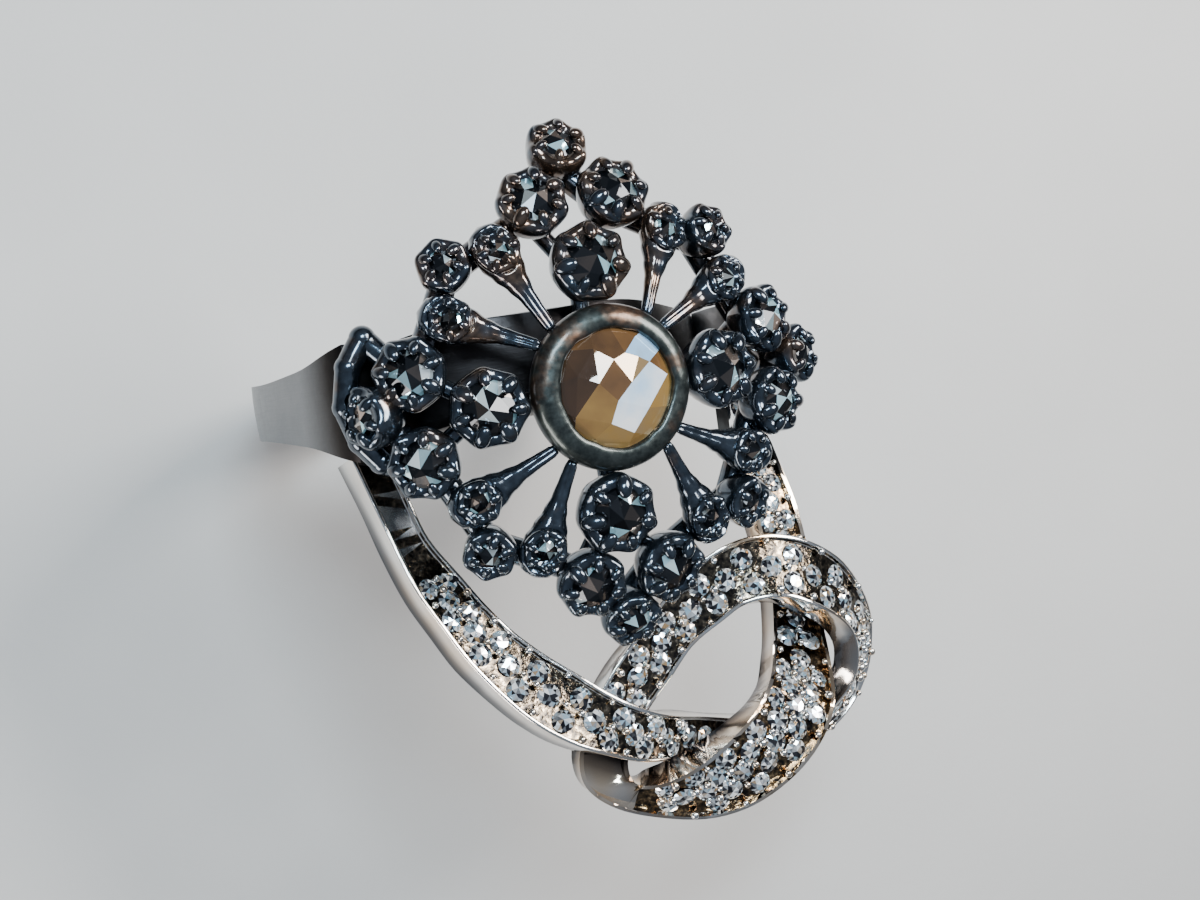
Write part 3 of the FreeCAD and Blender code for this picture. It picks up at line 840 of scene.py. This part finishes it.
def roses(name, sources, seed, height=0.5):
    """All the rose-cut stones of one kind."""
    stones = seats(*sources)
    gem = put("gem", rose_mesh("gem", seed, 0.15, top=height), hidden=True)
    piece = set_pieces(name, gem, [(s["at"], s["axis"]) for s in stones], [s["radius"] for s in stones],
                       rose_finish, seed, size=0.99)
    finished(piece, rose_finish, "rose_diamond", *sources)
    bpy.data.objects.remove(gem)


inner = ["cup_inner_" + d for d in COMPASS]
apex = ["cup_apex_" + d for d in COMPASS]
ball = ["cup_ball_" + d for d in COMPASS]
flank = ["cup_flank_" + d + s for d in COMPASS for s in ("_a", "_b")]
settings("inner", inner, 7, 41)
settings("apex", apex, 6, 42)
settings("flank", flank, 7, 43)
settings("ball", ball, 6, 44)
roses("roses_inner", ["diamond_inner_" + d for d in COMPASS], 51, 0.62)
roses("roses_apex", ["diamonds_apex"], 52)
roses("roses_flank", ["diamonds_flank"], 53)
roses("roses_ball", ["diamonds_ball"], 54)
roses("roses_leaf", ["diamonds_leaf"], 55, 0.85)


# ---------------------------------------------------------------- leaves

cup_low, cup_high = (Vector(c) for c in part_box("cup_centre"))
head_middle = (cup_low + cup_high) / 2


def leaf_ends(name):
    """The middle of a leaf's narrow end, and the tip of its wide end."""
    bm = welded(name)
    spots = [v.co.copy() for v in bm.verts]
    bm.free()
    nearest = min((p - head_middle).length for p in spots)
    narrow = [p for p in spots if (p - head_middle).length < nearest + 0.3 * MM]
    start = sum(narrow, Vector()) / len(narrow)
    return start, max(spots, key=lambda p: (p - start).length)


# half widths in mm along a leaf, from its narrow end (0) to its tip (1)
LEAF_WIDTHS = [(-0.05, 0.2), (0.0, 0.27), (0.12, 0.3), (0.28, 0.36), (0.42, 0.52), (0.56, 0.76), (0.68, 0.95),
               (0.78, 1.0), (0.87, 0.93), (0.95, 0.66), (0.985, 0.36), (1.0, 0.05)]
LEAF_ROWS, LEAF_AROUND = 45, 36


def leaf_mesh(name, start, end, seat, seed):
    """Tapering arm with a groove along its top, swelling to a flat seat for its stone."""
    rng = random.Random(seed)
    along = end - start
    length = along.length
    forward = along.normalized()
    side = forward.cross(seat["axis"]).normalized()
    up = side.cross(forward)
    lumps = rng.uniform(0.01, 0.03)
    rows = []
    for k in range(LEAF_ROWS):
        s = k / (LEAF_ROWS - 1) * 1.05 - 0.05
        j = max(i for i in range(len(LEAF_WIDTHS) - 1) if LEAF_WIDTHS[i][0] <= s + 1e-9)
        (a, wa), (b, wb) = LEAF_WIDTHS[j], LEAF_WIDTHS[j + 1]
        f = (s - a) / (b - a)
        f = f * f * (3 - 2 * f)
        width = (wa + (wb - wa) * f) * MM
        row = []
        for i in range(LEAF_AROUND):
            angle = math.tau * i / LEAF_AROUND
            groove = math.exp(-((angle - math.pi / 2) / 0.28) ** 2) * max(0.0, 1 - s / 0.75)
            r = width * (1.0 - 0.3 * groove) * (1 + lumps * math.sin(3 * angle + 9 * s))
            p = start + forward * (s * length)
            p += side * (r * math.cos(angle)) + up * (0.9 * r * math.sin(angle))
            above = (p - seat["at"]).dot(seat["axis"])
            away = (p - seat["at"] - seat["axis"] * above).length
            if above > 0 and away < LEAF_SEAT:
                p -= seat["axis"] * above
            row.append(p)
        rows.append(row)
    points, faces = rings(rows)
    return mesh_from(name, points, faces)


def leaves():
    """The eight arms as one piece, and the cups at their ends as another."""
    names = ["leaf_" + d + s for d in COMPASS for s in ("_a", "_b")]
    stones = seats("diamonds_leaf")
    blank = claw_cup("blank_leaf", stones[0]["radius"] + 0.04 * MM, LEAF_CUP, LEAF_CUP_TALL, 6, 61)
    parts, tops = [], []
    for k, name in enumerate(names):
        start, end = leaf_ends(name)
        seat = min(stones, key=lambda s: (s["at"] - (start + (end - start) * 0.76)).length)
        parts.append(leaf_mesh(name, start, end, seat, 70 + k))
        tops.append((seat["at"] + seat["axis"] * LEAF_CUP_LIFT, seat["axis"]))
    arms = put("leaf_arms", join("leaf_arms", parts))
    finished(arms, silver, "dark_silver", *names[:4])
    cups = set_pieces("leaf_cups", blank, tops, [1.0] * len(tops), silver, 62, spread=0.02)
    smooth_faces(cups)
    finished(cups, silver, "dark_silver", *names[4:])
    bpy.data.objects.remove(blank)


leaves()


# ---------------------------------------------------------------- centre

# corners of the centre stone's two facets painted bright as highlights, on a stone of radius 1
WINDOW = [(0.55, 0.30), (0.88, 0.06), (0.42, -0.39), (0.16, -0.73), (-0.22, -0.53), (-0.10, -0.2),
          (0.16, 0.04)]
UPPER_WINDOW = [(0.16, 0.49), (0.42, 0.70), (0.84, 0.46), (0.37, 0.40)]
OTHER_CORNERS = [(-0.62, 0.25), (-0.3, 0.62), (-0.72, -0.35), (-0.35, 0.1), (-0.45, -0.72), (-0.05, 0.42)]
# the painted reflection on the rest of it: across, up, and from dark through gold to white
GLINTS = [(0.3, 0.3, 0.66), (0.25, 0.95, 0.30), (-0.3, 0.7, 0.22), (-0.6, 0.25, 0.12), (-0.85, -0.2, 0.07),
          (-0.5, -0.3, 0.42), (-0.3, -0.75, 0.5), (0.6, -0.55, 0.58), (0.9, -0.1, 0.5), (0.85, 0.45, 0.33),
          (-0.2, 0.25, 0.3), (0.1, -0.95, 0.42)]


def inside(x, y, corners):
    """Whether a point is inside an outline."""
    odd = False
    for (x0, y0), (x1, y1) in zip(corners, corners[1:] + corners[:1]):
        if (y0 > y) != (y1 > y) and x < x0 + (x1 - x0) * (y - y0) / (y1 - y0):
            odd = not odd
    return odd


def centre_stone(seat):
    """Irregular old rose: a low dome of broad facets."""
    rng = random.Random(9)
    corners = WINDOW + UPPER_WINDOW + OTHER_CORNERS
    points = [Vector((x, y, 0.06 + 0.42 * (1 - x * x - y * y))) for x, y in corners]
    for i in range(13):
        a = math.tau * (i + rng.uniform(-0.2, 0.2)) / 13
        points.append(Vector((math.cos(a), math.sin(a), 0.06)))
        points.append(Vector((0.97 * math.cos(a), 0.97 * math.sin(a), 0.0)))
    bm = bmesh.new()
    for p in points:
        bm.verts.new(p)
    hull = bmesh.ops.convex_hull(bm, input=bm.verts)
    buried = [v for v in hull["geom_interior"] if isinstance(v, bmesh.types.BMVert)]
    bmesh.ops.delete(bm, geom=buried, context="VERTS")
    bmesh.ops.dissolve_limit(bm, angle_limit=math.radians(2), verts=bm.verts, edges=bm.edges)
    bmesh.ops.recalc_face_normals(bm, faces=bm.faces)
    mark = bm.faces.layers.float.new("facet")
    for face in bm.faces:
        c = face.calc_center_median()
        nearest = min(GLINTS, key=lambda g: (g[0] - c.x) ** 2 + (g[1] - c.y) ** 2)
        # facets inside the outlines are painted bright as highlights; the rest take the painted reflection of
        # the nearest glint
        bright = 0.98 if inside(c.x, c.y, WINDOW) else 0.9 if inside(c.x, c.y, UPPER_WINDOW) else 0.0
        face[mark] = bright or nearest[2]
    mesh = bpy.data.meshes.new("centre_rose")
    bm.to_mesh(mesh)
    bm.free()
    mesh.transform(Matrix.Translation(seat["at"]) @ upright(seat["axis"]) @ Matrix.Scale(seat["radius"], 4))
    return put("centre_rose", mesh)


# the centre bowl from its foot to its inner edge: share of its radius, share of its height
BOWL = [(0.63, 0.0), (0.72, 0.1), (0.83, 0.25), (0.91, 0.4), (0.965, 0.55), (0.995, 0.7), (1.0, 0.78),
        (0.985, 0.85), (0.955, 0.9), (0.915, 0.935), (0.87, 0.955), (0.825, 0.965), (0.785, 0.965),
        (0.755, 0.955), (0.735, 0.93)]
BOWL_AROUND = 160


def centre_cup():
    """Big round bowl with a thick edge, rubbed unevenly over the stone, and the stone."""
    rng = random.Random(5)
    radius = (cup_high.x - cup_low.x) / 2
    tall = cup_high.z - cup_low.z
    stone = seats("diamond_centre")[0]
    waves = [(n, rng.uniform(0, math.tau), rng.uniform(0.4, 1.0) / n ** 0.5) for n in (3, 5, 8, 11, 17, 23)]
    rows = []
    for out, up in BOWL:
        row = []
        for i in range(BOWL_AROUND):
            a = math.tau * i / BOWL_AROUND
            rough = sum(w * math.sin(n * a + p) for n, p, w in waves) / 3
            edge = max(0.0, up - 0.6) / 0.4
            left = 0.5 - 0.5 * math.cos(a - math.radians(-20))
            r = out * radius * (1 - 0.012 * edge * (1 + rough)) - 0.56 * (rough + left) * MM * (1 - out)
            z = cup_low.z + up * tall - 0.05 * MM * edge * (1 + rough)
            row.append(Vector((head_middle.x + r * math.cos(a), head_middle.y + r * math.sin(a), z)))
        rows.append(row)
    inner = [Vector((p.x, p.y, stone["at"].z - 0.02 * MM)) for p in rows[-1]]
    points, faces = rings(rows + [inner])
    cup = put("centre_setting", mesh_from("centre_setting", points, faces))
    finished(cup, rubbed, "dark_silver", "cup_centre")
    gem = centre_stone(stone)
    finished(gem, champagne, "champagne_diamond", "diamond_centre")


centre_cup()


# ---------------------------------------------------------------- collar

# where the west collar's two rounded ends run on under their neighbours: from, to (mm)
COLLAR_RUNS = [((-7.62, 2.62, 9.95), (-6.3, 1.0, 10.45)), ((-7.6, -2.6, 9.95), (-6.2, -3.3, 10.4))]
RUN_ROWS, RUN_AROUND = 17, 24


def collar_runs():
    """Tapering rods, each from one of the collar's ends."""
    parts = []
    for start, end in COLLAR_RUNS:
        start, end = Vector(start) * MM, Vector(end) * MM
        along = end - start
        side = along.cross(UP).normalized()
        over = side.cross(along).normalized()
        rows = []
        for k in range(RUN_ROWS):
            s = k / (RUN_ROWS - 1)
            thick = (0.55 - 0.06 * s) * min(1.0, 5 * (1 - s) + 0.3) * MM
            middle = start + along * s - UP * (0.1 * MM * math.sin(math.pi * s))
            angles = [math.tau * i / RUN_AROUND for i in range(RUN_AROUND)]
            rows.append([middle + thick * (side * math.cos(a) + over * math.sin(a)) for a in angles])
        parts.append(mesh_from("run", *rings(rows)))
    finished(put("collar_runs", join("collar_runs", parts)), silver, "dark_silver")


collar_runs()

for name, finish in (("head_frame", silver), ("foil_centre", foil)):
    nodes[name].data.materials.clear()
    nodes[name].data.materials.append(finish)


# ---------------------------------------------------------------- floor, light and camera

HALF_FLOOR = 0.6
HEAD_MM = (0, -4, 8)         # what the lamps are aimed at
CAMERA_MM = (-22.3, 1.6, 76.0)
CAMERA_RIGHT = (0.9226, -0.1549, 0.3534)
CAMERA_BACK = (-0.3455, 0.0763, 0.9353)


def floor():
    """A plain pale table under the ring."""
    f = Finish("pale_floor")
    colour = f.ramp(f.noise(0.05, 3.0), [(0.3, (0.60, 0.585, 0.565)), (0.7, (0.64, 0.625, 0.605))])
    finish = f.shader(Base_Color=colour, Roughness=0.85, Normal=f.bump(f.noise(1.5, 2.0), 0.02))
    level = cad_box[0][2]
    corners = [(x * HALF_FLOOR, y * HALF_FLOOR, level) for x, y in ((-1, -1), (1, -1), (1, 1), (-1, 1))]
    mesh = bpy.data.meshes.new("floor")
    mesh.from_pydata(corners, [], [(0, 1, 2, 3)])
    mesh.materials.append(finish)
    put("floor", mesh)


def lamp(name, place_mm, size_mm, watts, colour):
    """A soft rectangular light."""
    light = bpy.data.lights.new(name, "AREA")
    light.shape = "RECTANGLE"
    light.size, light.size_y = (s * MM for s in size_mm)
    light.energy = watts
    light.color = colour
    obj = bpy.data.objects.new(name, light)
    bpy.context.scene.collection.objects.link(obj)
    obj.location = Vector(place_mm) * MM
    obj.rotation_euler = (Vector(HEAD_MM) - Vector(place_mm)).to_track_quat("-Z", "Y").to_euler()


def sky():
    """Dim surroundings, warm below and cool above."""
    world = bpy.data.worlds.new("studio")
    bpy.context.scene.world = world
    world.use_nodes = True
    w = Nodes(world.node_tree)
    w.tree.nodes.clear()
    direction = w.add("ShaderNodeTexCoord", output="Generated")
    height = w.add("ShaderNodeSeparateXYZ", None, {0: direction}, "Z")
    stops = [(0.0, (0.10, 0.085, 0.07)), (0.45, (0.2, 0.17, 0.15)), (0.62, (0.22, 0.25, 0.3)),
             (1.0, (0.5, 0.6, 0.75))]
    shade = w.add("ShaderNodeValToRGB", {"stops": stops}, {"Fac": height * 0.5 + 0.5})
    glow = w.add("ShaderNodeBackground", None, {"Color": shade, "Strength": 0.55})
    w.add("ShaderNodeOutputWorld", None, {"Surface": glow})


def camera():
    """Above the head, leaning to the knot's left, far enough for a near-flat view."""
    data = bpy.data.cameras.new("camera")
    data.lens = 48.0
    data.sensor_width = 36.0
    data.clip_start = 0.001
    obj = bpy.data.objects.new("camera", data)
    bpy.context.scene.collection.objects.link(obj)
    right = Vector(CAMERA_RIGHT).normalized()
    back = Vector(CAMERA_BACK)
    back = (back - right * back.dot(right)).normalized()
    up = back.cross(right)
    turn = Matrix((right, up, back)).transposed().to_4x4()
    obj.matrix_world = Matrix.Translation(Vector(CAMERA_MM) * MM) @ turn
    bpy.context.scene.camera = obj


floor()
sky()
lamp("key", (75, 40, 90), (50, 50), 0.24, (1.0, 0.97, 0.93))
lamp("sky_panel", (-15, 45, 110), (45, 22), 0.13, (0.70, 0.88, 1.0))
lamp("low_fill", (-80, -60, 30), (60, 30), 0.085, (1.0, 0.95, 0.9))
camera()
